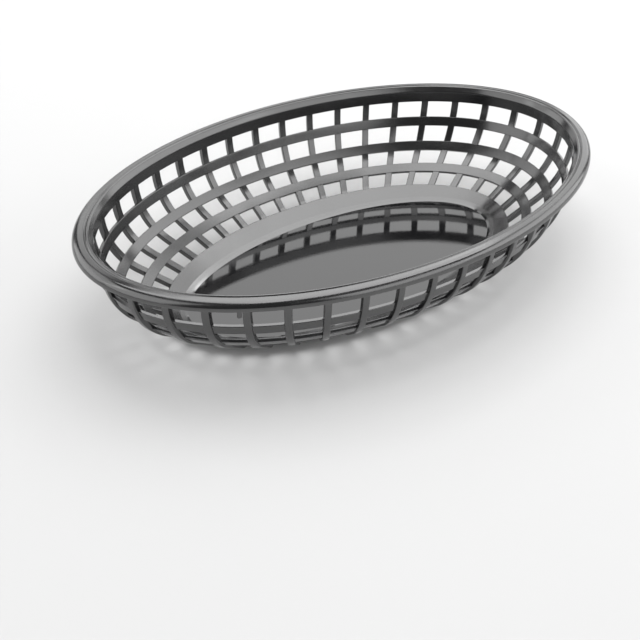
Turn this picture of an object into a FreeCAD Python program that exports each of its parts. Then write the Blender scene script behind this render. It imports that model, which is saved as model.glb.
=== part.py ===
"""An oval fast food basket, moulded in one piece from one material.

A rolled rim, an open wall of upright ribs and level hoops, and a smooth pan with a flat floor.
The ribs stand proud outside and the hoops lie inside, so the gaps between them are windows.
Millimetres, +Z up, +X along the basket, with the origin in the middle of the floor's underside.
"""
import FreeCAD, Part
import math
import os

# The oval of the rim, the height, and how far the wall runs in from the rim's edge to the floor
LENGTH = 238.0
WIDTH = 146.0
HEIGHT = 44.5
END_RUN = 39.8
SIDE_RUN = 34.7

# Rim: a band rolled over the top of the wall, with a short skirt outside
RIM_BREADTH = 8.2
RIM_ROUND = 2.6
SHOULDER_RUN = 2.0
SHOULDER_DROP = 2.3
SKIRT_DEPTH = 3.8
RIM_THICKNESS = 1.6

# Wall: upright below the rim, then a curve that runs into a straight flank
WALL_THICKNESS = 1.5
UPRIGHT_DEPTH = 5.2
BOWL_RADIUS = 30.0
SIDE_FULLNESS = 0.9176

# Pan: the closed foot of the wall and the floor
FLOOR_THICKNESS = 1.6
FLOOR_ROUND_RISE = 0.9
FLOOR_ROUND_RUN = 3.2

# Lattice, measured down the wall from the top of the rim
TOP_BAND = 7.3
HOOP_BREADTHS = (4.3, 4.6, 5.0)
FLANK_BAND = 6.2
RIB_COUNT = 40
RIB_BREADTH = 3.0
RIB_STANDS_OUT = 0.8
RIB_SET_BACK = 0.6
RIB_BENDS = 4

# Moulding tab that hangs from the skirt, at its angle round the oval
TAB_ANGLE = 222.5
TAB_BREADTH = 1.6
TAB_DEPTH = 1.1
TAB_HANG = 2.6


class Station:
    """One level of the wall's inner face: its inset at the ends, its height and its lean."""

    def __init__(self, inset, z, lean):
        self.inset = inset
        self.z = z
        self.lean = lean

    def oval(self, outward=0.0):
        """Give the half length, half width and height, moved square to the wall by outward."""
        grow = outward * math.cos(self.lean)
        half_length, half_width = rim_oval(self.inset)
        return half_length + grow, half_width + grow, self.z - outward * math.sin(self.lean)


def rim_oval(inset, grow=0.0):
    """Half length and half width of the oval that lies inset from the rim's outer edge.

    The sides run in less than the ends, and a little less again than the floor's own share.
    """
    side_inset = inset * SIDE_FULLNESS * SIDE_RUN / END_RUN
    return LENGTH / 2 - inset + grow, WIDTH / 2 - side_inset + grow


def floor_oval(shrink=0.0):
    """Half length and half width of the oval where the flank meets the floor's round."""
    return LENGTH / 2 - END_RUN - shrink, WIDTH / 2 - SIDE_RUN - shrink


def crease_height():
    """Height of the line where the flank meets the floor's round."""
    return FLOOR_THICKNESS + FLOOR_ROUND_RISE


def flank_geometry():
    """Lean of the flank and its length, for a flank that leaves the bowl's curve at a tangent."""
    across = END_RUN - RIM_BREADTH - BOWL_RADIUS
    down = HEIGHT - UPRIGHT_DEPTH - crease_height()
    reach = math.hypot(across, down)
    length = math.sqrt(reach ** 2 - BOWL_RADIUS ** 2)
    lean = math.atan2(across, down) + math.atan2(BOWL_RADIUS, length)
    return lean, length


def wall_length():
    """Length down the wall's inner face, from the top of the rim to the floor's round."""
    lean, length = flank_geometry()
    return UPRIGHT_DEPTH + BOWL_RADIUS * lean + length


def station(distance):
    """The wall's inner face at a distance down it from the top of the rim."""
    lean, _ = flank_geometry()
    angle = min(max(distance - UPRIGHT_DEPTH, 0.0) / BOWL_RADIUS, lean)
    straight = max(distance - UPRIGHT_DEPTH - BOWL_RADIUS * lean, 0.0)
    upright = min(distance, UPRIGHT_DEPTH)
    inset = RIM_BREADTH + BOWL_RADIUS * (1 - math.cos(angle)) + straight * math.sin(angle)
    drop = upright + BOWL_RADIUS * math.sin(angle) + straight * math.cos(angle)
    return Station(inset, HEIGHT - drop, angle)


def window_rows():
    """Top and bottom distance of each row of windows, all of one height."""
    rows = len(HOOP_BREADTHS) + 1
    height = (wall_length() - TOP_BAND - FLANK_BAND - sum(HOOP_BREADTHS)) / rows
    tops = [TOP_BAND + row * height + sum(HOOP_BREADTHS[:row]) for row in range(rows)]
    return [(top, top + height) for top in tops]


def oval_edge(half_length, half_width, z):
    """A level ellipse that starts on the +X axis."""
    centre = FreeCAD.Vector(0, 0, z)
    return Part.Ellipse(centre, half_length, half_width).toShape()


def closed_solid(faces):
    """Join faces that meet edge to edge into one solid that faces outwards."""
    shell = Part.makeShell(faces)
    shell.sewShape()
    solid = Part.Solid(shell)
    if solid.Volume < 0:
        solid.reverse()
    return solid


def oval_ring(section):
    """A solid ring whose section is a closed run of (half length, half width, z) levels."""
    edges = [oval_edge(*level) for level in section]
    return closed_solid([Part.makeRuledSurface(a, b) for a, b in zip(edges, edges[1:] + edges[:1])])


def rim_and_top_band():
    """The rolled rim and the plain band above the first windows, as one ring."""
    first_window = station(TOP_BAND)
    outer_round = [
        (*rim_oval(RIM_ROUND * (1 - math.cos(a))), HEIGHT - RIM_ROUND * (1 - math.sin(a)))
        for a in map(math.radians, (90, 45, 0))
    ]
    skirt_foot = HEIGHT - SKIRT_DEPTH
    ceiling = HEIGHT - RIM_THICKNESS
    return oval_ring(
        [
            first_window.oval(),
            (*rim_oval(RIM_BREADTH), HEIGHT - SHOULDER_DROP),
            (*rim_oval(RIM_BREADTH - SHOULDER_RUN), HEIGHT),
        ]
        + outer_round
        + [
            (*rim_oval(0.0), skirt_foot),
            (*rim_oval(0.0, -RIM_THICKNESS), skirt_foot),
            (*rim_oval(0.0, -RIM_THICKNESS), ceiling),
            (*rim_oval(RIM_BREADTH, WALL_THICKNESS), ceiling),
            first_window.oval(WALL_THICKNESS),
        ]
    )


def hoops():
    """The level hoops between the rows of windows."""
    rows = window_rows()
    rings = []
    for above, below in zip(rows, rows[1:]):
        top, bottom = station(above[1]), station(below[0])
        levels = [top.oval(), bottom.oval(), bottom.oval(WALL_THICKNESS), top.oval(WALL_THICKNESS)]
        rings.append(oval_ring(levels))
    return rings


def pan():
    """The closed flank below the last windows, the round and the flat floor, as one solid."""
    lean, _ = flank_geometry()
    top = station(window_rows()[-1][1])
    foot_shrink = crease_height() * math.tan(lean) - WALL_THICKNESS / math.cos(lean)
    levels = [
        (*floor_oval(foot_shrink), 0.0),
        top.oval(WALL_THICKNESS),
        top.oval(),
        (*floor_oval(), crease_height()),
        (*floor_oval(FLOOR_ROUND_RUN), FLOOR_THICKNESS),
    ]
    edges = [oval_edge(*level) for level in levels]
    bands = [Part.makeRuledSurface(a, b) for a, b in zip(edges, edges[1:])]
    caps = [Part.Face(Part.Wire(edges[0])), Part.Face(Part.Wire(edges[-1]))]
    return closed_solid(bands + caps)


def rib_angles():
    """Angle round the oval of each rib, with the ribs an equal distance apart along the rim."""
    points = oval_edge(LENGTH / 2, WIDTH / 2, 0.0).discretize(Number=RIB_COUNT + 1)[:RIB_COUNT]
    return [math.atan2(p.y / WIDTH, p.x / LENGTH) for p in points]


def run_to_oval(start, inward, half_length, half_width):
    """Distance from start along inward to the oval, both given in plan."""
    a = (inward.x / half_length) ** 2 + (inward.y / half_width) ** 2
    b = start.x * inward.x / half_length ** 2 + start.y * inward.y / half_width ** 2
    c = (start.x / half_length) ** 2 + (start.y / half_width) ** 2 - 1
    return (-b - math.sqrt(b * b - a * c)) / a


def offset_line(points, distance):
    """Move an open run of (across, up) points square to itself, to its outer and lower side."""
    moved = []
    for i, (across, up) in enumerate(points):
        before, after = points[max(i - 1, 0)], points[min(i + 1, len(points) - 1)]
        run, rise = after[0] - before[0], after[1] - before[1]
        length = math.hypot(run, rise)
        moved.append((across + distance * rise / length, up - distance * run / length))
    return moved


def ended_at_floor(points):
    """End a falling run of (across, up) points at the level of the floor's underside."""
    (x0, z0), (x1, z1) = points[-2:]
    return points[:-1] + [(x0 + (x1 - x0) * z0 / (z0 - z1), 0.0)]


def outer_bends():
    """Distances down the wall where a rib's outer face bends: even steps round the bowl's curve."""
    lean, _ = flank_geometry()
    return [UPRIGHT_DEPTH + BOWL_RADIUS * lean * step / RIB_BENDS for step in range(RIB_BENDS + 1)]


def inner_bends():
    """Distances down the wall where a rib's inner face bends: under the rim and behind each hoop."""
    rows = window_rows()
    return [UPRIGHT_DEPTH] + [(above[1] + below[0]) / 2 for above, below in zip(rows, rows[1:])]


def wall_line(start, inward, distances):
    """The wall's inner face in an upright plane, down to the pan's crease, as (inward, up) points."""
    in_pan = window_rows()[-1][1] + WALL_THICKNESS
    ovals = [station(distance).oval() for distance in distances + [in_pan]]
    ovals.append((*floor_oval(), crease_height()))
    return [(run_to_oval(start, inward, a, b), z) for a, b, z in ovals]


def rib_profile(start, inward):
    """Outline of a rib in its upright plane, as (inward, up) points from the rim's edge."""
    inner = offset_line(wall_line(start, inward, inner_bends()), RIB_SET_BACK)
    outer = offset_line(wall_line(start, inward, outer_bends()), WALL_THICKNESS + RIB_STANDS_OUT)
    top = HEIGHT - RIM_THICKNESS * 3 / 4
    within_wall = inner[0][0] - RIB_STANDS_OUT / 2
    return (
        [(outer[0][0], top)]
        + ended_at_floor(outer)
        + [(inner[-1][0] + FLOOR_ROUND_RUN, 0.0)]
        + inner[::-1]
        + [(within_wall, HEIGHT - RIM_THICKNESS), (outer[0][0] + RIB_STANDS_OUT / 2, top)]
    )


def rib(angle):
    """One rib: an upright bar that follows the wall from under the rim to the pan's foot."""
    x, y = LENGTH / 2 * math.cos(angle), WIDTH / 2 * math.sin(angle)
    floor_half_length, floor_half_width = floor_oval()
    start = FreeCAD.Vector(x, y, 0)
    foot = FreeCAD.Vector(floor_half_length * math.cos(angle), floor_half_width * math.sin(angle), 0)
    inward = (foot - start).normalize()
    square = FreeCAD.Vector(-inward.y, inward.x, 0)
    half_length, half_width, _ = station(wall_length() / 2).oval()
    along_wall = FreeCAD.Vector(half_length * math.sin(angle), -half_width * math.cos(angle), 0)
    across = along_wall * (RIB_BREADTH / along_wall.dot(square))
    corner = start - across / 2
    points = [corner + inward * run + FreeCAD.Vector(0, 0, z) for run, z in rib_profile(start, inward)]
    return Part.Face(Part.makePolygon(points + points[:1])).extrude(across)


def tab():
    """The small moulding tab under the skirt."""
    angle = math.radians(TAB_ANGLE)
    x, y = LENGTH / 2 * math.cos(angle), WIDTH / 2 * math.sin(angle)
    outward = math.atan2(y / WIDTH ** 2, x / LENGTH ** 2)
    seat = RIM_THICKNESS / 2
    block = Part.makeBox(TAB_DEPTH, TAB_BREADTH, TAB_HANG + seat)
    block.translate(FreeCAD.Vector(-TAB_DEPTH - (RIM_THICKNESS - TAB_DEPTH) / 2, -TAB_BREADTH / 2, 0))
    block.rotate(FreeCAD.Vector(0, 0, 0), FreeCAD.Vector(0, 0, 1), math.degrees(outward))
    block.translate(FreeCAD.Vector(x, y, HEIGHT - SKIRT_DEPTH - TAB_HANG))
    return block


def basket():
    """Fuse the rim, hoops, pan, ribs and tab into one solid, with faces in one plane merged."""
    pieces = hoops() + [pan(), tab()] + [rib(angle) for angle in rib_angles()]
    return rim_and_top_band().multiFuse(pieces).removeSplitter().Solids[0]


os.makedirs("parts", exist_ok=True)
basket().exportStep("parts/basket.step")
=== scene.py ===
"""The looks of an oval fast food basket, moulded in one piece from glossy black plastic.

The basket is one finished mesh: a rolled rim and a pan lofted through ovals, and a lattice of hoops
and ribs that Geometry Nodes lay on the wall. A pale studio, its lights and the camera come last.
All lengths are in metres, in the frame of the solid model.
"""
import logging
import math
from collections.abc import Iterable, Sequence
from dataclasses import dataclass
from enum import Enum
from typing import Any

import bmesh
import bpy
from mathutils import Matrix, Vector


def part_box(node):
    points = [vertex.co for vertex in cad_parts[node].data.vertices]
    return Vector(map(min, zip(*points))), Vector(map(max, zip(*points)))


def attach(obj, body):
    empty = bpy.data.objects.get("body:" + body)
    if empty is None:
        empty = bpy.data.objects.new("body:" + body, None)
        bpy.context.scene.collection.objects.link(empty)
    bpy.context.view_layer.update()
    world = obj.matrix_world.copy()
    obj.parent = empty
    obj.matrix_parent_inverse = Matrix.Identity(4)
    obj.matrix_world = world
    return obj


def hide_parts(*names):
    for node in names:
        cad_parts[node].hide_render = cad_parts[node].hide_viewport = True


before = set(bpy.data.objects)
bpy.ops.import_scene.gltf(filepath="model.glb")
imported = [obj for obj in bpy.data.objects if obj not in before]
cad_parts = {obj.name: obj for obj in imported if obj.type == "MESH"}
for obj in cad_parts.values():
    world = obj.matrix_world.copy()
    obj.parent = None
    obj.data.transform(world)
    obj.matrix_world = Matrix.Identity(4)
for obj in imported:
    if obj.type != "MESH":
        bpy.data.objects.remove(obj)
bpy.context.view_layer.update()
LOG = logging.getLogger("basket")
MM = 0.001
RING_SEGMENTS = 320
ROUND_STEP = math.radians(9)
ROUND_SHARE = 0.98


class Node(str, Enum):
    """Names shared with the solid model and its record."""

    BASKET = "basket"
    BODY = "root"
    SLOT = "black_polypropylene"


class Field(str, Enum):
    """Named attributes that carry a point's place on the wall through the node trees."""

    ANGLE = "angle"
    DISTANCE = "distance"
    OUTWARD = "outward"
    ACROSS = "across"
    BREADTH = "breadth"


@dataclass(frozen=True)
class WallShape:
    """The rule that the whole wall follows, from the rim's edge to the floor.

    A distance is measured down the wall's inner face from the top of the rim. An inset is measured
    inwards from the rim's outer edge at the basket's ends.
    """

    half_length: float
    half_width: float
    height: float
    rim_breadth: float = 8.2 * MM
    upright_depth: float = 5.2 * MM
    bowl_radius: float = 30.0 * MM
    end_run: float = 39.8 * MM
    side_run: float = 34.7 * MM
    side_share: float = 0.8
    thickness: float = 1.5 * MM
    crease_height: float = 2.5 * MM
    floor_thickness: float = 1.6 * MM
    floor_round_run: float = 3.2 * MM
    top_band: float = 7.3 * MM
    flank_band: float = 6.2 * MM
    hoop_breadths: tuple[float, ...] = (4.3 * MM, 4.6 * MM, 5.0 * MM)

    @property
    def flank_length(self) -> float:
        """Length of the straight flank below the bowl's curve."""
        across = self.end_run - self.rim_breadth - self.bowl_radius
        down = self.height - self.upright_depth - self.crease_height
        return math.sqrt(across**2 + down**2 - self.bowl_radius**2)

    @property
    def lean(self) -> float:
        """Angle of the straight flank from upright."""
        across = self.end_run - self.rim_breadth - self.bowl_radius
        down = self.height - self.upright_depth - self.crease_height
        return math.atan2(across, down) + math.atan2(self.bowl_radius, self.flank_length)

    @property
    def length_down(self) -> float:
        """Length down the wall from the top of the rim to the pan's crease."""
        return self.upright_depth + self.bowl_radius * self.lean + self.flank_length

    @property
    def window_height(self) -> float:
        """Height of every window, measured down the wall."""
        closed = self.top_band + self.flank_band + sum(self.hoop_breadths)
        return (self.length_down - closed) / (len(self.hoop_breadths) + 1)

    @property
    def pan_top(self) -> float:
        """Distance down the wall to the lower edge of the last windows."""
        return self.length_down - self.flank_band

    def hoops(self) -> list[tuple[float, float]]:
        """Space the hoops down the wall, with windows of one height between them.

        Returns:
            The distance of each hoop's middle, and its breadth.
        """
        found = []
        top = self.top_band + self.window_height
        for breadth in self.hoop_breadths:
            found.append((top + breadth / 2, breadth))
            top += breadth + self.window_height
        return found

    def profile(self, distance: float) -> tuple[float, float, float]:
        """Follow the wall's inner face at the basket's end.

        Args:
            distance: How far down the wall.

        Returns:
            The inset, the height and the angle from upright.
        """
        angle = min(max(distance - self.upright_depth, 0.0) / self.bowl_radius, self.lean)
        straight = max(distance - self.upright_depth - self.bowl_radius * self.lean, 0.0)
        upright = min(distance, self.upright_depth)
        inset = self.rim_breadth + self.bowl_radius * (1 - math.cos(angle)) + straight * math.sin(angle)
        drop = upright + self.bowl_radius * math.sin(angle) + straight * math.cos(angle)
        return inset, self.height - drop, angle

    def side_inset(self, inset: float) -> float:
        """Find the inset at the basket's sides that goes with one at its ends.

        Args:
            inset: The inset at the ends.

        Returns:
            The inset at the sides.
        """
        pan_inset = self.profile(self.pan_top)[0]
        share = self.side_share * min(inset, pan_inset)
        if inset <= pan_inset:
            return share
        slope = (self.side_run - share) / (self.end_run - pan_inset)
        return share + slope * (min(inset, self.end_run) - pan_inset) + max(inset - self.end_run, 0.0)

    def oval(self, inset: float, grow: float = 0.0) -> tuple[float, float]:
        """Half length and half width of the oval at an inset, grown evenly by grow."""
        return self.half_length - inset + grow, self.half_width - self.side_inset(inset) + grow


@dataclass(frozen=True)
class Corner:
    """A corner of a section: how far in, how far up, and the radius that rounds it."""

    inset: float
    height: float
    radius: float
    grow: float = 0.0


def rounded(corners: Sequence[Corner], closed: bool) -> list[Corner]:
    """Round the corners of a section.

    Two rounds that meet on a short side share it in the ratio of what each needs.

    Args:
        corners: The section's corners in order.
        closed: Whether the last corner joins the first.

    Returns:
        The points of the rounded section.
    """
    spots = [Vector((corner.inset, corner.height)) for corner in corners]
    ends = set() if closed else {0, len(corners) - 1}
    halves, wants = [], []
    for i, corner in enumerate(corners):
        before, after = spots[i - 1] - spots[i], spots[(i + 1) % len(spots)] - spots[i]
        halves.append(before.angle(after) / 2)
        wants.append(0.0 if i in ends else corner.radius / math.tan(halves[i]))
    points: list[Corner] = []
    for i, corner in enumerate(corners):
        if wants[i] <= 0:
            points.append(corner)
            continue
        sides, reach = [], wants[i]
        for j in (i - 1, (i + 1) % len(spots)):
            side = spots[j] - spots[i]
            sides.append(side.normalized())
            share = wants[i] / (wants[i] + wants[j])
            reach = min(reach, ROUND_SHARE * side.length * share)
        radius = reach * math.tan(halves[i])
        centre = spots[i] + (sides[0] + sides[1]).normalized() * (radius / math.sin(halves[i]))
        start = spots[i] + sides[0] * reach - centre
        turn = start.angle_signed(spots[i] + sides[1] * reach - centre)
        count = max(2, math.ceil(abs(turn) / ROUND_STEP))
        for k in range(count + 1):
            spoke = start.copy()
            spoke.rotate(Matrix.Rotation(-turn * k / count, 2))
            point = centre + spoke
            points.append(Corner(point.x, point.y, 0.0, corner.grow))
    return points


class OvalLoft:
    """Lays closed ovals through a section and joins them into a skin."""

    def __init__(self, shape: WallShape) -> None:
        """Keep the wall's rule and start an empty mesh."""
        self.shape = shape
        self.mesh = bmesh.new()

    def ring(self, point: Corner) -> list[bmesh.types.BMVert]:
        """Add one oval of vertices.

        Args:
            point: The point of the section that the oval goes through.

        Returns:
            The oval's vertices, anticlockwise from +X.
        """
        half_length, half_width = self.shape.oval(point.inset, point.grow)
        verts = []
        for i in range(RING_SEGMENTS):
            turn = math.tau * i / RING_SEGMENTS
            verts.append(self.mesh.verts.new(
                (half_length * math.cos(turn), half_width * math.sin(turn), point.height)
            ))
        return verts

    def skin(self, section: Sequence[Corner], closed: bool) -> bpy.types.Mesh:
        """Join the section's ovals.

        Args:
            section: The section's points, in order.
            closed: Whether the last oval joins the first. Where it doesn't, both ends get a flat cap.

        Returns:
            The finished mesh, with its faces outwards.
        """
        rings = [self.ring(point) for point in section]
        pairs = list(zip(rings, rings[1:]))
        if closed:
            pairs.append((rings[-1], rings[0]))
        for lower, upper in pairs:
            for i in range(RING_SEGMENTS):
                j = (i + 1) % RING_SEGMENTS
                self.mesh.faces.new((lower[i], lower[j], upper[j], upper[i]))
        if not closed:
            self.mesh.faces.new(rings[0])
            self.mesh.faces.new(rings[-1])
        bmesh.ops.recalc_face_normals(self.mesh, faces=self.mesh.faces[:])
        return finished_mesh(self.mesh)


def finished_mesh(source: bmesh.types.BMesh) -> bpy.types.Mesh:
    """Turn a bmesh into a smooth-shaded mesh and free it.

    Args:
        source: The bmesh.

    Returns:
        The plain mesh.
    """
    for face in source.faces:
        face.smooth = True
    mesh = bpy.data.meshes.new("part")
    source.to_mesh(mesh)
    source.free()
    return mesh


@dataclass(frozen=True)
class Rim:
    """The rolled rim with its crease, shoulder and hollow underside, and the plain band below."""

    shape: WallShape
    side_drop: float = 2.1 * MM
    side_radius: float = 3.0 * MM
    brow_inset: float = 1.7 * MM
    brow_drop: float = 0.45 * MM
    brow_radius: float = 4.5 * MM
    face_inset: float = 4.5 * MM
    face_drop: float = 0.05 * MM
    groove_inset: float = 5.15 * MM
    groove_drop: float = 0.65 * MM
    crest_inset: float = 5.9 * MM
    crown_inset: float = 6.6 * MM
    crown_drop: float = 0.35 * MM
    shoulder_drop: float = 2.4 * MM
    skirt_depth: float = 3.8 * MM
    skirt_tuck: float = 0.1 * MM
    thickness: float = 1.6 * MM
    shoulder_radius: float = 1.2 * MM
    crest_radius: float = 0.6 * MM
    hollow_radius: float = 0.6 * MM
    skirt_radius: float = 0.3 * MM
    edge_radius: float = 0.25 * MM

    def section(self) -> list[Corner]:
        """Draw the rim's closed section at the basket's end.

        Returns:
            Its corners, from the band's inner foot over the rim to the band's outer foot.
        """
        shape = self.shape
        top = shape.height
        inset, foot, angle = shape.profile(shape.top_band)
        out = shape.thickness * math.cos(angle)
        outer_foot = foot - shape.thickness * math.sin(angle)
        return [
            Corner(inset, foot, self.edge_radius),
            Corner(shape.rim_breadth, top - self.shoulder_drop, self.shoulder_radius),
            Corner(self.crown_inset, top - self.crown_drop, self.shoulder_radius),
            Corner(self.crest_inset, top, self.crest_radius),
            Corner(self.groove_inset, top - self.groove_drop, self.edge_radius),
            Corner(self.face_inset, top - self.face_drop, self.crest_radius),
            Corner(self.brow_inset, top - self.brow_drop, self.brow_radius),
            Corner(0.0, top - self.side_drop, self.side_radius),
            Corner(self.skirt_tuck, top - self.skirt_depth, self.skirt_radius),
            Corner(self.thickness, top - self.skirt_depth, self.skirt_radius),
            Corner(self.thickness, top - self.thickness, self.hollow_radius),
            Corner(shape.rim_breadth - out, top - self.thickness, self.hollow_radius),
            Corner(inset - out, outer_foot, self.edge_radius),
        ]

    def build(self) -> bpy.types.Mesh:
        """Loft the rim."""
        return OvalLoft(self.shape).skin(rounded(self.section(), closed=True), closed=True)


@dataclass(frozen=True)
class Pan:
    """The closed foot of the wall, the narrow strip round the floor, and the flat floor."""

    shape: WallShape
    floor_lap: float = 4.0 * MM
    floor_radius: float = 0.35 * MM
    crease_radius: float = 0.8 * MM
    foot_radius: float = 0.4 * MM
    edge_radius: float = 0.25 * MM

    def section(self) -> list[Corner]:
        """Draw the pan's open section at the basket's end.

        Returns:
            Its corners, from the floor's top over the wall's foot to the floor's underside.
        """
        shape = self.shape
        inset, top, lean = shape.profile(shape.pan_top)
        out = shape.thickness * math.cos(lean)
        floor_inset = shape.end_run + shape.floor_round_run
        foot_shrink = shape.crease_height * math.tan(lean) - shape.thickness / math.cos(lean)
        return [
            Corner(floor_inset + self.floor_lap, shape.floor_thickness, 0.0),
            Corner(floor_inset, shape.floor_thickness, self.floor_radius),
            Corner(shape.end_run, shape.crease_height, self.crease_radius),
            Corner(inset, top, self.edge_radius),
            Corner(inset, top - shape.thickness * math.sin(lean), self.edge_radius, out),
            Corner(shape.end_run + foot_shrink, 0.0, self.foot_radius),
            Corner(floor_inset + self.floor_lap, 0.0, 0.0),
        ]

    def build(self) -> bpy.types.Mesh:
        """Loft the pan."""
        points = self.section()
        path = [Corner(p.inset - p.grow, p.height, p.radius) for p in points]
        return OvalLoft(self.shape).skin(rounded(path, closed=False), closed=False)


@dataclass(frozen=True)
class MouldTab:
    """The small tab that the mould leaves under the skirt."""

    shape: WallShape
    angle: float = math.radians(222.5)
    breadth: float = 1.6 * MM
    depth: float = 1.1 * MM
    hang: float = 2.6 * MM
    skirt_depth: float = Rim.skirt_depth
    inset: float = 0.25 * MM
    edge_radius: float = 0.25 * MM

    def build(self) -> bpy.types.Mesh:
        """Make the tab as a small block with rounded edges.

        Returns:
            The tab's mesh, in its place under the skirt.
        """
        half_length, half_width = self.shape.half_length, self.shape.half_width
        x, y = half_length * math.cos(self.angle), half_width * math.sin(self.angle)
        outward = Vector((x / half_length**2, y / half_width**2, 0)).normalized()
        top = self.shape.height - self.skirt_depth + self.breadth / 2
        length = self.hang + self.breadth / 2
        block = bmesh.new()
        bmesh.ops.create_cube(block, size=1.0)
        size = Matrix.Diagonal((self.depth, self.breadth, length, 1.0))
        bmesh.ops.transform(block, matrix=size, verts=block.verts)
        edges = block.edges[:]
        bmesh.ops.bevel(block, geom=edges, offset=self.edge_radius, segments=2, affect="EDGES")
        turn = Matrix.Rotation(math.atan2(outward.y, outward.x), 4, "Z")
        middle = Vector((x, y, 0)) - outward * (self.inset + self.depth / 2)
        middle.z = top - length / 2
        bmesh.ops.transform(block, matrix=Matrix.Translation(middle) @ turn, verts=block.verts)
        return finished_mesh(block)


class Graph:
    """Adds nodes to one tree and links them, so that a rule reads line by line."""

    def __init__(self, tree: bpy.types.NodeTree) -> None:
        """Take a tree, emptied."""
        self.tree = tree
        self.tree.nodes.clear()
        self.identifiers: dict[str, str] = {}

    @classmethod
    def group(cls, name: str, kind: str) -> "Graph":
        """Start a new node group of a kind."""
        return cls(bpy.data.node_groups.new(name, kind))

    @classmethod
    def material(cls, material: bpy.types.Material) -> "Graph":
        """Start a material's own tree."""
        material.use_nodes = True
        return cls(material.node_tree)

    def socket(self, name: str, kind: str, value: Any = None, output: bool = False) -> None:
        """Add a named input or output to the tree.

        Args:
            name: The socket's name.
            kind: The socket's type.
            value: The value that it starts with, if any.
            output: Whether it is an output.
        """
        side = "OUTPUT" if output else "INPUT"
        item = self.tree.interface.new_socket(name, in_out=side, socket_type=kind)
        if value is not None:
            item.default_value = value
        if not output:
            self.identifiers[name] = item.identifier

    def add(self, kind: str, links: dict[Any, Any] | None = None, **settings: Any) -> bpy.types.Node:
        """Add a node.

        Args:
            kind: The node's type.
            links: Input names or numbers, with the socket or value that each gets.
            settings: The node's own settings.

        Returns:
            The new node.
        """
        node = self.tree.nodes.new(kind)
        for key, value in settings.items():
            setattr(node, key, value)
        for key, value in (links or {}).items():
            if isinstance(value, bpy.types.NodeSocket):
                self.tree.links.new(value, node.inputs[key])
            else:
                node.inputs[key].default_value = value
        return node

    def math(self, operation: str, *values: Any) -> bpy.types.NodeSocket:
        """Add a maths node.

        Args:
            operation: What it does.
            values: The sockets or numbers that it works on.

        Returns:
            Its result.
        """
        links = dict(enumerate(values))
        return self.add("ShaderNodeMath", links, operation=operation).outputs[0]

    def spread(
        self, value: bpy.types.NodeSocket, source: tuple[float, float], target: tuple[float, float]
    ) -> bpy.types.NodeSocket:
        """Map one range of a value onto another, and hold it at the ends.

        Args:
            value: The value.
            source: Where its range starts and ends.
            target: What it is there.

        Returns:
            The mapped value.
        """
        links = {0: value, 1: source[0], 2: source[1], 3: target[0], 4: target[1]}
        return self.add("ShaderNodeMapRange", links).outputs[0]

    def product(self, *values: Any) -> bpy.types.NodeSocket:
        """Multiply two or more values.

        Args:
            values: The sockets or numbers, of which the first is a socket.

        Returns:
            Their product.
        """
        result = values[0]
        for value in values[1:]:
            result = self.math("MULTIPLY", result, value)
        return result


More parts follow.
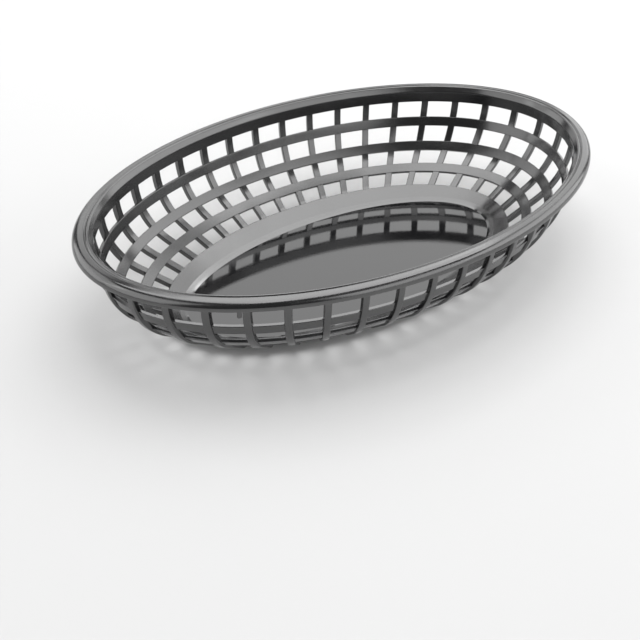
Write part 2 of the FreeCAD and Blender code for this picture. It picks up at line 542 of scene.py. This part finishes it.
class WallPlacer:
    """A node group that turns a place on the wall into a point: the same rule as WallShape's."""

    SIZES = ("Half Length", "Half Width", "Height", "Rim Breadth", "Upright Depth", "Bowl Radius",
             "Lean", "Side Share", "Pan Top", "Length Down", "Foot Narrowing")

    def __init__(self, shape: WallShape) -> None:
        """Build the group.

        Args:
            shape: The wall, whose sizes are the starting values.
        """
        foot = shape.side_run - shape.side_share * shape.end_run
        values = (shape.half_length, shape.half_width, shape.height, shape.rim_breadth,
                  shape.upright_depth, shape.bowl_radius, shape.lean, shape.side_share,
                  shape.pan_top, shape.length_down, foot)
        graph = Graph.group("Place on wall", "GeometryNodeTree")
        for field in (Field.ANGLE, Field.DISTANCE, Field.OUTWARD, Field.ACROSS):
            graph.socket(field.value, "NodeSocketFloat", 0.0)
        for name, value in zip(self.SIZES, values):
            graph.socket(name, "NodeSocketFloat", value)
        graph.socket("Position", "NodeSocketVector", output=True)
        self.tree = graph.tree
        self.wire(graph)

    def wire(self, graph: Graph) -> None:
        """Wire the rule: how far in and down a place is, then its point on that oval.

        Args:
            graph: The group's tree, with its sockets.
        """
        m = graph.math
        g = graph.add("NodeGroupInput").outputs
        below = m("SUBTRACT", g[Field.DISTANCE.value], g["Upright Depth"])
        past_upright = m("MAXIMUM", below, 0.0)
        turn = m("MINIMUM", m("DIVIDE", past_upright, g["Bowl Radius"]), g["Lean"])
        straight = m("MAXIMUM", m("SUBTRACT", below, graph.product(g["Bowl Radius"], g["Lean"])), 0.0)
        sine, cosine = m("SINE", turn), m("COSINE", turn)
        bowl_run = graph.product(g["Bowl Radius"], m("SUBTRACT", 1.0, cosine))
        inset = m("ADD", m("ADD", g["Rim Breadth"], bowl_run), graph.product(straight, sine))
        upright = m("MINIMUM", g[Field.DISTANCE.value], g["Upright Depth"])
        bowl_drop = graph.product(g["Bowl Radius"], sine)
        drop = m("ADD", m("ADD", upright, bowl_drop), graph.product(straight, cosine))
        grow = graph.product(g[Field.OUTWARD.value], cosine)
        sunk = graph.product(g[Field.OUTWARD.value], sine)
        height = m("SUBTRACT", m("SUBTRACT", g["Height"], drop), sunk)
        in_pan = m("MAXIMUM", m("SUBTRACT", g[Field.DISTANCE.value], g["Pan Top"]), 0.0)
        pan_share = m("DIVIDE", in_pan, m("SUBTRACT", g["Length Down"], g["Pan Top"]))
        narrowing = graph.product(pan_share, g["Foot Narrowing"])
        side = m("ADD", graph.product(g["Side Share"], inset), narrowing)
        half_length = m("ADD", m("SUBTRACT", g["Half Length"], inset), grow)
        half_width = m("ADD", m("SUBTRACT", g["Half Width"], side), grow)
        angle = self.shifted_angle(graph, g, half_length, half_width)
        x = graph.product(half_length, m("COSINE", angle))
        y = graph.product(half_width, m("SINE", angle))
        place = graph.add("ShaderNodeCombineXYZ", {0: x, 1: y, 2: height})
        graph.add("NodeGroupOutput", {"Position": place.outputs[0]})

    @staticmethod
    def shifted_angle(
        graph: Graph,
        g: Any,
        half_length: bpy.types.NodeSocket,
        half_width: bpy.types.NodeSocket,
    ) -> bpy.types.NodeSocket:
        """Shift a rib's angle so that its side lies in a plane beside the rib's own upright plane.

        Args:
            graph: The tree being built.
            g: The group's input sockets.
            half_length: Half length of the oval at this place.
            half_width: Half width of the oval at this place.

        Returns:
            The shifted angle.
        """
        m = graph.math
        cosine, sine = m("COSINE", g[Field.ANGLE.value]), m("SINE", g[Field.ANGLE.value])
        cosine2, sine2 = graph.product(cosine, cosine), graph.product(sine, sine)
        share = g["Side Share"]
        plane = m("SQRT", m("ADD", cosine2, graph.product(share, share, sine2)))
        end_part = graph.product(half_width, cosine2)
        spread = m("ADD", graph.product(half_length, share, sine2), end_part)
        shift = graph.product(g[Field.ACROSS.value], m("DIVIDE", plane, spread))
        return m("ADD", g[Field.ANGLE.value], shift)


class LatticeTree:
    """What the hoops' and the ribs' node trees share: a rounded section, and laying on the wall."""

    CORNER_POINTS = 3

    def __init__(self, name: str, placer: WallPlacer, sizes: dict[str, float | int]) -> None:
        """Start a tree with named inputs for its sizes.

        Args:
            name: The tree's name.
            placer: The group that lays a point on the wall.
            sizes: The tree's sizes and their values.
        """
        self.graph = Graph.group(name, "GeometryNodeTree")
        self.placer = placer
        self.sizes = sizes
        self.graph.socket("Geometry", "NodeSocketGeometry")
        for size, value in sizes.items():
            kind = "NodeSocketInt" if isinstance(value, int) else "NodeSocketFloat"
            self.graph.socket(size, kind, value)
        self.graph.socket("Material", "NodeSocketMaterial")
        self.graph.socket("Geometry", "NodeSocketGeometry", output=True)
        self.inputs = self.graph.add("NodeGroupInput").outputs

    def store(
        self, geometry: bpy.types.NodeSocket, field: Field, value: bpy.types.NodeSocket
    ) -> bpy.types.NodeSocket:
        """Keep a value on every point of a geometry.

        Args:
            geometry: What the points belong to.
            field: The name that the value is kept under.
            value: The value.

        Returns:
            The geometry with the value on it.
        """
        node = self.graph.add(
            "GeometryNodeStoreNamedAttribute",
            {"Geometry": geometry, "Name": field.value},
            data_type="FLOAT",
            domain="POINT",
        )
        self.graph.tree.links.new(value, node.inputs["Value"])
        return node.outputs["Geometry"]

    def read(self, field: Field) -> bpy.types.NodeSocket:
        """Read a kept value back."""
        kind = "GeometryNodeInputNamedAttribute"
        node = self.graph.add(kind, {"Name": field.value}, data_type="FLOAT")
        return node.outputs["Attribute"]

    def place_parts(self) -> Sequence[bpy.types.NodeSocket]:
        """Give the x, y and z of every point."""
        position = self.graph.add("GeometryNodeInputPosition").outputs[0]
        return self.graph.add("ShaderNodeSeparateXYZ", {0: position}).outputs

    def section(self, width: Any, height: Any, radius: Any) -> bpy.types.NodeSocket:
        """Draw a rectangle with rounded corners.

        Args:
            width: Its size along x.
            height: Its size along y.
            radius: The radius of its corners.

        Returns:
            The outline as a closed curve.
        """
        add = self.graph.add
        outline = add("GeometryNodeCurvePrimitiveQuadrilateral", {"Width": width, "Height": height})
        fillet = add(
            "GeometryNodeFilletCurve",
            {"Curve": outline.outputs[0], "Radius": radius, "Count": self.CORNER_POINTS},
            mode="POLY",
        )
        return fillet.outputs[0]

    def lay(self, geometry: bpy.types.NodeSocket, across: Any) -> None:
        """End the tree: make the copies real, lay them on the wall and give them their material.

        Args:
            geometry: The copies, whose points hold their places on the wall.
            across: How far each point lies to the side of its rib's middle, or None.
        """
        add, link = self.graph.add, self.graph.tree.links.new
        real = add("GeometryNodeRealizeInstances", {"Geometry": geometry})
        place = add("GeometryNodeGroup", node_tree=self.placer.tree)
        for field in (Field.ANGLE, Field.DISTANCE, Field.OUTWARD):
            link(self.read(field), place.inputs[field.value])
        if across is not None:
            link(across, place.inputs[Field.ACROSS.value])
        links = {"Geometry": real.outputs[0], "Position": place.outputs[0]}
        moved = add("GeometryNodeSetPosition", links)
        smooth = add("GeometryNodeSetShadeSmooth", {"Geometry": moved.outputs[0]})
        dressed = add(
            "GeometryNodeSetMaterial",
            {"Geometry": smooth.outputs[0], "Material": self.inputs["Material"]},
        )
        add("NodeGroupOutput", {"Geometry": dressed.outputs[0]})

    def run(self, base: bpy.types.Mesh, material: bpy.types.Material) -> bpy.types.Mesh:
        """Run the tree on a base mesh.

        Args:
            base: The mesh that the tree starts from.
            material: The material of what it makes.

        Returns:
            The result as a plain mesh, with its faces outwards.
        """
        carrier = bpy.data.objects.new(self.graph.tree.name, base)
        bpy.context.scene.collection.objects.link(carrier)
        modifier = carrier.modifiers.new(self.graph.tree.name, "NODES")
        modifier.node_group = self.graph.tree
        for name, value in self.sizes.items():
            modifier[self.graph.identifiers[name]] = value
        modifier[self.graph.identifiers["Material"]] = material
        ready = carrier.evaluated_get(bpy.context.evaluated_depsgraph_get())
        mesh = bpy.data.meshes.new_from_object(ready)
        bpy.data.objects.remove(carrier)
        turned = bmesh.new()
        turned.from_mesh(mesh)
        bmesh.ops.recalc_face_normals(turned, faces=turned.faces[:])
        return finished_mesh(turned)


class HoopTree(LatticeTree):
    """The level hoops: a ring for each point of the base mesh, whose x is a distance and y a breadth."""

    EDGE_RADIUS = 0.28 * MM

    def __init__(self, placer: WallPlacer, shape: WallShape) -> None:
        """Build the tree with the hoops' sizes.

        Args:
            placer: The group that lays a point on the wall.
            shape: The wall.
        """
        mean = sum(shape.hoop_breadths) / len(shape.hoop_breadths)
        sizes = {
            "Segments": RING_SEGMENTS,
            "Thickness": shape.thickness,
            "Mean Breadth": mean,
            "Edge Radius": self.EDGE_RADIUS,
        }
        super().__init__("Hoops", placer, sizes)
        m, add, g = self.graph.math, self.graph.add, self.inputs
        x, y, _ = self.place_parts()
        marked = self.store(self.store(g["Geometry"], Field.DISTANCE, x), Field.BREADTH, y)
        section = self.section(g["Thickness"], g["Mean Breadth"], g["Edge Radius"])
        section = self.store(section, Field.OUTWARD, m("ADD", x, m("DIVIDE", g["Thickness"], 2.0)))
        section = self.store(section, Field.ACROSS, y)
        links = {"Resolution": g["Segments"], "Radius": 1.0}
        circle = add("GeometryNodeCurvePrimitiveCircle", links)
        ring = self.store(circle.outputs[0], Field.ANGLE, m("ARCTAN2", y, x))
        sweep = add("GeometryNodeCurveToMesh", {"Curve": ring, "Profile Curve": section})
        links = {"Points": marked, "Instance": sweep.outputs[0]}
        copies = add("GeometryNodeInstanceOnPoints", links)
        real = add("GeometryNodeRealizeInstances", {"Geometry": copies.outputs[0]})
        scale = m("DIVIDE", self.read(Field.BREADTH), g["Mean Breadth"])
        offset = self.graph.product(self.read(Field.ACROSS), scale)
        down = m("ADD", self.read(Field.DISTANCE), offset)
        self.lay(self.store(real.outputs[0], Field.DISTANCE, down), None)


@dataclass(frozen=True)
class Ribs:
    """Sizes of the upright ribs."""

    count: int = 40
    breadth: float = 3.0 * MM
    set_back: float = 0.15 * MM
    reach: float = 2.3 * MM
    draft: float = 0.16
    start: float = 3.2 * MM
    steps: int = 52
    edge_radius: float = 0.3 * MM
    ground_gap: float = 0.15 * MM

    def end(self, shape: WallShape) -> float:
        """Find where the ribs' outer edge nearly meets the ground.

        Args:
            shape: The wall.

        Returns:
            The distance down the wall.
        """
        lowest = self.reach * math.sin(shape.lean) + self.ground_gap
        return shape.length_down + (shape.crease_height - lowest) / math.cos(shape.lean)


class RibTree(LatticeTree):
    """The upright ribs: as many as asked, an equal distance apart along the rim."""

    RIM_POINTS = 720

    def __init__(self, placer: WallPlacer, shape: WallShape, ribs: Ribs) -> None:
        """Build the tree with the ribs' sizes.

        Args:
            placer: The group that lays a point on the wall.
            shape: The wall.
            ribs: The ribs' own sizes.
        """
        sizes = {
            "Count": ribs.count,
            "Steps": ribs.steps,
            "Breadth": ribs.breadth,
            "Set Back": ribs.set_back,
            "Reach": ribs.reach,
            "Draft": ribs.draft,
            "Start": ribs.start,
            "End": ribs.end(shape),
            "Edge Radius": ribs.edge_radius,
            "Half Length": shape.half_length,
            "Half Width": shape.half_width,
        }
        super().__init__("Ribs", placer, sizes)
        links = {"Points": self.roots(), "Instance": self.bar()}
        copies = self.graph.add("GeometryNodeInstanceOnPoints", links)
        self.lay(copies.outputs[0], self.read(Field.ACROSS))

    def roots(self) -> bpy.types.NodeSocket:
        """Set points an equal distance apart along the rim.

        Returns:
            The points, each with its angle.
        """
        m, add, g = self.graph.math, self.graph.add, self.inputs
        links = {"Resolution": self.RIM_POINTS, "Radius": 1.0}
        circle = add("GeometryNodeCurvePrimitiveCircle", links)
        halves = add("ShaderNodeCombineXYZ", {0: g["Half Length"], 1: g["Half Width"], 2: 1.0})
        place = add("GeometryNodeInputPosition").outputs[0]
        links = {0: place, 1: halves.outputs[0]}
        scaled = add("ShaderNodeVectorMath", links, operation="MULTIPLY")
        links = {"Geometry": circle.outputs[0], "Position": scaled.outputs[0]}
        rim = add("GeometryNodeSetPosition", links)
        spaced = add("GeometryNodeResampleCurve", {"Curve": rim.outputs[0], "Count": g["Count"]})
        x, y, _ = self.place_parts()
        angle = m("ARCTAN2", m("DIVIDE", y, g["Half Width"]), m("DIVIDE", x, g["Half Length"]))
        return self.store(spaced.outputs[0], Field.ANGLE, angle)

    def bar(self) -> bpy.types.NodeSocket:
        """Make one rib as a straight bar.

        Returns:
            The bar, whose points hold their place across, out from and down the wall.
        """
        m, add, g = self.graph.math, self.graph.add, self.inputs
        depth = m("SUBTRACT", g["Reach"], g["Set Back"])
        x, y, _ = self.place_parts()
        section = self.section(g["Breadth"], depth, g["Edge Radius"])
        height_share = m("DIVIDE", m("ADD", y, m("DIVIDE", depth, 2.0)), depth)
        narrow = m("SUBTRACT", 1.0, self.graph.product(g["Draft"], height_share))
        section = self.store(section, Field.ACROSS, self.graph.product(x, narrow))
        outward = m("ADD", m("ADD", y, m("DIVIDE", depth, 2.0)), g["Set Back"])
        section = self.store(section, Field.OUTWARD, outward)
        line = add("GeometryNodeCurvePrimitiveLine", {"Start": (0, 0, 0), "End": (0, 0, 1)})
        steps = add("GeometryNodeResampleCurve", {"Curve": line.outputs[0], "Count": g["Steps"]})
        _, _, share = self.place_parts()
        run = self.graph.product(share, m("SUBTRACT", g["End"], g["Start"]))
        spine = self.store(steps.outputs[0], Field.DISTANCE, m("ADD", g["Start"], run))
        links = {"Curve": spine, "Profile Curve": section, "Fill Caps": True}
        return add("GeometryNodeCurveToMesh", links).outputs[0]


@dataclass(frozen=True)
class BlackPlastic:
    """Glossy black polypropylene: a mirror on the floor, satin on the wall, scuffed on the rim's top."""

    colour: tuple[float, float, float] = (0.0075, 0.0075, 0.008)
    ior: float = 1.6
    specular_level: float = 1.0
    wall_roughness: float = 0.19
    floor_roughness: float = 0.05
    scuff_roughness: float = 0.06
    grain_depth: float = 0.02 * MM
    grain_strength: float = 0.35
    floor_grain: float = 0.3
    floor_height: float = 1.9 * MM
    scuff_height: float = 43.6 * MM
    half_step: float = 0.15 * MM

    def build(self, skin: bpy.types.NodeTree) -> bpy.types.Material:
        """Make the material.

        Args:
            skin: The shader group that gives a moulded skin's grain, polish and scuffs.

        Returns:
            The finished material.
        """
        material = bpy.data.materials.new(Node.SLOT.value)
        graph = Graph.material(material)
        place = graph.add("ShaderNodeTexCoord").outputs["Object"]
        height = graph.add("ShaderNodeSeparateXYZ", {0: place}).outputs[2]
        marks = graph.add("ShaderNodeGroup", {"Vector": place}, node_tree=skin).outputs
        base = self.step(graph, height, self.floor_height, self.floor_roughness, self.wall_roughness)
        scuffs = self.step(graph, height, self.scuff_height, 0.0, self.scuff_roughness)
        polished = graph.product(base, marks["Polish"])
        roughness = graph.math("ADD", polished, graph.product(scuffs, marks["Scuff"]))
        depth = self.step(graph, height, self.floor_height, self.floor_grain, 1.0)
        grain = graph.product(marks["Height"], depth)
        bump = graph.add(
            "ShaderNodeBump",
            {"Strength": self.grain_strength, "Distance": self.grain_depth, "Height": grain},
        )
        shader = graph.add(
            "ShaderNodeBsdfPrincipled",
            {
                "Base Color": (*self.colour, 1.0),
                "Roughness": roughness,
                "IOR": self.ior,
                "Specular IOR Level": self.specular_level,
                "Normal": bump.outputs[0],
            },
        )
        graph.add("ShaderNodeOutputMaterial", {"Surface": shader.outputs[0]})
        return material

    def step(
        self, graph: Graph, height: bpy.types.NodeSocket, level: float, below: float, above: float
    ) -> bpy.types.NodeSocket:
        """Change a value where the surface passes a level.

        Args:
            graph: The material's tree.
            height: The height of the point that is shaded.
            level: The height at which the value changes.
            below: The value under that height.
            above: The value over it.

        Returns:
            The value at this point.
        """
        return graph.spread(height, (level - self.half_step, level + self.half_step), (below, above))


@dataclass(frozen=True)
class MouldedSkin:
    """The marks of a moulded and used surface, as noise of three sizes."""

    grain_scale: float = 900.0
    grain_detail: float = 3.0
    patch_scale: float = 60.0
    patch_detail: float = 5.0
    hair_scale: float = 95.0
    hair_detail: float = 1.0
    hair_wander: float = 1.5
    hair_width: float = 0.012
    polish_noise: tuple[float, float] = (0.3, 0.7)
    polish_range: tuple[float, float] = (0.75, 1.3)
    scuffed_noise: tuple[float, float] = (0.45, 0.6)

    def build(self) -> bpy.types.NodeTree:
        """Build the shader group.

        Returns:
            A group that gives a fine grain, a slow change of polish, and hairline scuffs.
        """
        graph = Graph.group("Moulded skin", "ShaderNodeTree")
        graph.socket("Vector", "NodeSocketVector")
        for name in ("Height", "Polish", "Scuff"):
            graph.socket(name, "NodeSocketFloat", output=True)
        vector = graph.add("NodeGroupInput").outputs["Vector"]
        fine = self.noise(graph, vector, self.grain_scale, self.grain_detail)
        slow = self.noise(graph, vector, self.patch_scale, self.patch_detail)
        polish = graph.spread(slow, self.polish_noise, self.polish_range)
        lines = self.noise(graph, vector, self.hair_scale, self.hair_detail, self.hair_wander)
        nearness = graph.math("ABSOLUTE", graph.math("SUBTRACT", lines, 0.5))
        hairs = graph.spread(nearness, (0.0, self.hair_width), (1.0, 0.0))
        patches = graph.spread(slow, self.scuffed_noise, (0.0, 1.0))
        scuff = graph.product(hairs, patches)
        graph.add("NodeGroupOutput", {"Height": fine, "Polish": polish, "Scuff": scuff})
        return graph.tree

    @staticmethod
    def noise(
        graph: Graph, vector: bpy.types.NodeSocket, scale: float, detail: float, wander: float = 0.0
    ) -> bpy.types.NodeSocket:
        """Add a noise.

        Args:
            graph: The group's tree.
            vector: The place that it is read at.
            scale: Its cells to a metre.
            detail: How many finer noises are laid over it.
            wander: How far it is bent out of shape.

        Returns:
            The noise, from 0 to 1.
        """
        links = {"Vector": vector, "Scale": scale, "Detail": detail, "Distortion": wander}
        return graph.add("ShaderNodeTexNoise", links).outputs[0]


class Basket:
    """The whole basket as one finished piece."""

    def __init__(self, shape: WallShape) -> None:
        """Keep the wall's rule and make the plastic."""
        self.shape = shape
        self.plastic = BlackPlastic().build(MouldedSkin().build())

    def hoop_points(self) -> bpy.types.Mesh:
        """Make the mesh that the hoops start from.

        Returns:
            A point for each hoop, whose x is its distance down the wall and y its breadth.
        """
        mesh = bpy.data.meshes.new("hoop points")
        points = [(middle, breadth, 0.0) for middle, breadth in self.shape.hoops()]
        mesh.from_pydata(points, [], [])
        return mesh

    def parts(self) -> Iterable[tuple[str, bpy.types.Mesh]]:
        """Build the basket's forms one by one.

        Returns:
            The name and the mesh of each, in turn.
        """
        placer = WallPlacer(self.shape)
        yield "rim", Rim(self.shape).build()
        yield "pan", Pan(self.shape).build()
        yield "hoops", HoopTree(placer, self.shape).run(self.hoop_points(), self.plastic)
        rib_base = bpy.data.meshes.new("rib base")
        yield "ribs", RibTree(placer, self.shape, Ribs()).run(rib_base, self.plastic)
        yield "mould tab", MouldTab(self.shape).build()

    def build(self) -> bpy.types.Object:
        """Join the forms into one object, shade it and tie it to the frame.

        Returns:
            The finished piece.
        """
        whole = bmesh.new()
        for name, mesh in self.parts():
            LOG.info("%s: %d faces", name, len(mesh.polygons))
            whole.from_mesh(mesh)
        mesh = finished_mesh(whole)
        mesh.name = "basket skin"
        mesh.materials.clear()
        mesh.materials.append(self.plastic)
        for face in mesh.polygons:
            face.material_index = 0
        piece = bpy.data.objects.new("oval_basket", mesh)
        bpy.context.scene.collection.objects.link(piece)
        weighted = piece.modifiers.new("weighted normals", "WEIGHTED_NORMAL")
        weighted.keep_sharp = True
        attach(piece, Node.BODY.value)
        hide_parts(Node.BASKET.value)
        return piece


@dataclass(frozen=True)
class Panel:
    """A flat studio light of even radiance."""

    name: str
    radiance: float

    def hang(
        self, place: Vector, right: Vector, back: Vector, width: float, height: float
    ) -> bpy.types.Object:
        """Add the light.

        Args:
            place: Its middle.
            right: The direction of its width.
            back: The direction from what it lights to the light.
            width: Its size along right.
            height: Its other size.

        Returns:
            The lamp.
        """
        light = bpy.data.lights.new(self.name, "AREA")
        light.shape = "RECTANGLE"
        light.size, light.size_y = width, height
        light.energy = self.radiance * math.pi * width * height
        lamp = bpy.data.objects.new(self.name, light)
        bpy.context.scene.collection.objects.link(lamp)
        turn = Matrix((right, back.cross(right), back)).transposed().to_4x4()
        lamp.matrix_world = Matrix.Translation(place) @ turn
        return lamp


@dataclass(frozen=True)
class Softbox(Panel):
    """A light given by the part of the sky that it fills, as seen from the basket.

    Angles are in degrees: azimuth anticlockwise from +X, and elevation above the horizon.
    """

    azimuths: tuple[float, float]
    elevations: tuple[float, float]
    distance: float = 1.3

    def build(self, target: Vector) -> bpy.types.Object:
        """Add the light, facing the target.

        Args:
            target: The point that it faces.

        Returns:
            The lamp.
        """
        azimuth = math.radians(sum(self.azimuths) / 2)
        elevation = math.radians(sum(self.elevations) / 2)
        half_across = math.radians(self.azimuths[1] - self.azimuths[0]) / 2
        half_up = math.radians(self.elevations[1] - self.elevations[0]) / 2
        width = 2 * self.distance * math.tan(half_across) * math.cos(elevation)
        height = 2 * self.distance * math.tan(half_up)
        level = math.cos(elevation)
        back = Vector((math.cos(azimuth) * level, math.sin(azimuth) * level, math.sin(elevation)))
        right = Vector((-math.sin(azimuth), math.cos(azimuth), 0.0))
        return self.hang(target + back * self.distance, right, back, width, height)


@dataclass(frozen=True)
class OverheadBox(Panel):
    """A level light above the basket, given by its two corners in plan."""

    low: tuple[float, float]
    high: tuple[float, float]
    height: float = 1.0

    def build(self, target: Vector) -> bpy.types.Object:
        """Add the light, facing straight down.

        Args:
            target: The point that its height and its corners are measured from.

        Returns:
            The lamp.
        """
        across, along = (self.low[0] + self.high[0]) / 2, (self.low[1] + self.high[1]) / 2
        middle = Vector((across, along, self.height))
        width, depth = self.high[0] - self.low[0], self.high[1] - self.low[1]
        right, up = Vector((1.0, 0.0, 0.0)), Vector((0.0, 0.0, 1.0))
        return self.hang(target + middle, right, up, width, depth)


@dataclass(frozen=True)
class PhotoCamera:
    """The camera that the photo was taken with, as fitted to the basket."""

    azimuth: float = -0.673
    elevation: float = 0.626
    roll: float = 0.030
    offset: tuple[float, float, float] = (12.28 * MM, -58.889 * MM, 458.351 * MM)
    focal_pixels: float = 1137.26
    frame_pixels: float = 640.0
    sensor: float = 36.0
    clip_start: float = 0.01

    def build(self, height: float) -> bpy.types.Object:
        """Add the camera.

        Args:
            height: Height of the rim's top, which the fit measures from.

        Returns:
            The camera.
        """
        back = Vector((
            math.sin(self.azimuth) * math.cos(self.elevation),
            -math.cos(self.azimuth) * math.cos(self.elevation),
            math.sin(self.elevation),
        ))
        level = Vector((math.cos(self.azimuth), math.sin(self.azimuth), 0.0))
        upright = back.cross(level)
        right = level * math.cos(self.roll) + upright * math.sin(self.roll)
        up = upright * math.cos(self.roll) - level * math.sin(self.roll)
        across, down, away = self.offset
        place = -(right * across - up * down - back * away)
        place.z += height
        data = bpy.data.cameras.new("photo camera")
        data.sensor_width = self.sensor
        data.lens = self.focal_pixels * self.sensor / self.frame_pixels
        data.clip_start = self.clip_start
        camera = bpy.data.objects.new("photo camera", data)
        bpy.context.scene.collection.objects.link(camera)
        turn = Matrix((right, up, back)).transposed().to_4x4()
        camera.matrix_world = Matrix.Translation(place) @ turn
        bpy.context.scene.camera = camera
        return camera


@dataclass(frozen=True)
class Studio:
    """A wide pale floor, a dim surround and soft lights."""

    target: Vector
    floor_colour: float = 0.57
    floor_lift: float = 0.03
    surround: float = 0.1
    floor_reach: float = 12.0

    LIGHTS = (
        OverheadBox("overhead box", 3.1, (-0.25, -0.45), (0.95, 0.76)),
        Softbox("near right box", 1.9, (-93.0, -51.0), (1.0, 43.0)),
        Softbox("right box", 2.3, (-52.0, 2.0), (1.0, 36.0)),
        Softbox("upper right box", 1.0, (-28.0, 9.0), (36.0, 50.0), 1.5),
        Softbox("far right box", 1.9, (7.0, 33.0), (3.0, 46.0)),
        Softbox("low far right box", 0.6, (31.0, 57.0), (2.0, 25.0)),
        Softbox("low far left box", 1.1, (55.0, 88.0), (2.0, 25.0)),
        Softbox("high far box", 1.35, (30.0, 88.0), (23.0, 46.0)),
        Softbox("low left box", 1.9, (100.0, 152.0), (2.0, 32.0)),
        Softbox("high left box", 1.4, (100.0, 152.0), (31.0, 50.0)),
        Softbox("near left box", 1.6, (150.0, 206.0), (3.0, 58.0)),
    )

    def build(self) -> None:
        """Add the floor, the surround and the lights."""
        self.floor()
        self.world()
        for light in self.LIGHTS:
            light.build(self.target)

    def floor(self) -> None:
        """Lay the pale floor that keeps the basket's shadow."""
        mesh = bpy.data.meshes.new("studio floor")
        reach = self.floor_reach
        corners = [(-reach, -reach, 0), (reach, -reach, 0), (reach, reach, 0), (-reach, reach, 0)]
        mesh.from_pydata(corners, [], [(0, 1, 2, 3)])
        material = bpy.data.materials.new("studio white")
        graph = Graph.material(material)
        matt = graph.add("ShaderNodeBsdfDiffuse", {"Color": (self.floor_colour,) * 3 + (1.0,)})
        rays = graph.add("ShaderNodeLightPath").outputs
        shiny = graph.math("MAXIMUM", rays["Is Camera Ray"], rays["Is Glossy Ray"])
        every = graph.math("MAXIMUM", shiny, rays["Is Transmission Ray"])
        seen = graph.product(every, self.floor_lift)
        lift = graph.add("ShaderNodeEmission", {"Color": (1, 1, 1, 1), "Strength": seen})
        both = graph.add("ShaderNodeAddShader", {0: matt.outputs[0], 1: lift.outputs[0]})
        graph.add("ShaderNodeOutputMaterial", {"Surface": both.outputs[0]})
        mesh.materials.append(material)
        floor = bpy.data.objects.new("studio floor", mesh)
        bpy.context.scene.collection.objects.link(floor)

    def world(self) -> None:
        """Give the rest of the room its dim, even light."""
        world = bpy.data.worlds.new("studio surround")
        world.use_nodes = True
        background = world.node_tree.nodes["Background"]
        background.inputs["Color"].default_value = (1.0, 1.0, 1.0, 1.0)
        background.inputs["Strength"].default_value = self.surround
        bpy.context.scene.world = world


def main() -> None:
    """Build the basket, the studio and the camera."""
    logging.basicConfig(level=logging.INFO, format="%(name)s: %(message)s")
    low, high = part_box(Node.BASKET.value)
    shape = WallShape((high.x - low.x) / 2, (high.y - low.y) / 2, high.z - low.z)
    PhotoCamera().build(shape.height)
    basket = Basket(shape).build()
    LOG.info("%s: %d faces in all", basket.name, len(basket.data.polygons))
    Studio(Vector((0.0, 0.0, shape.height))).build()
    bpy.context.scene.view_settings.view_transform = "Standard"


if __name__ == "__main__":
    main()
